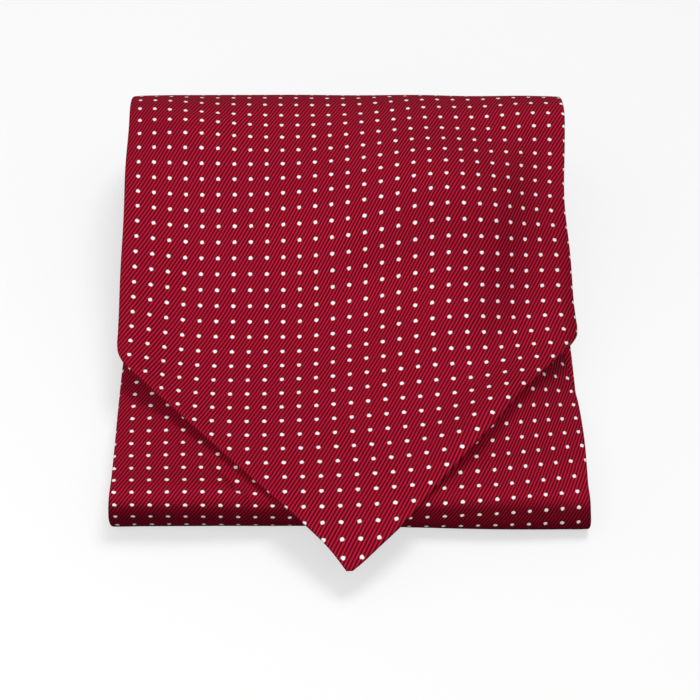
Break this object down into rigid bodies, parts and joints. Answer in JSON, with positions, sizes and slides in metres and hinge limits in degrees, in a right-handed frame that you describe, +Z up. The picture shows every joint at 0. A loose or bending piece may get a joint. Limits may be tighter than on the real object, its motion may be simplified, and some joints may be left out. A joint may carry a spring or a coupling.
{
  "type": "folded silk cravat",
  "caption": "Day cravat in pin-dot silk twill, rolled flat with its pointed blade face up over the folded layers beneath.",
  "frame": {"origin": "centre of the folded cravat's footprint, on the surface it rests on", "axes": "+Z up, the blade's point towards -Y, the soft roll at +Y, +X to the right as the picture sees it"},
  "size_m": [0.1552, 0.1872, 0.0457],
  "materials": {
    "silk_face": "satin twill",
    "silk_back": "satin twill",
    "silk_under": "satin twill",
    "silk_core": "satin twill"
  },
  "bodies": {
    "root": {"front_blade": "silk_face", "back_layer": "silk_back", "under_layer": "silk_under", "folded_core": "silk_core"}
  },
  "joints": []
}
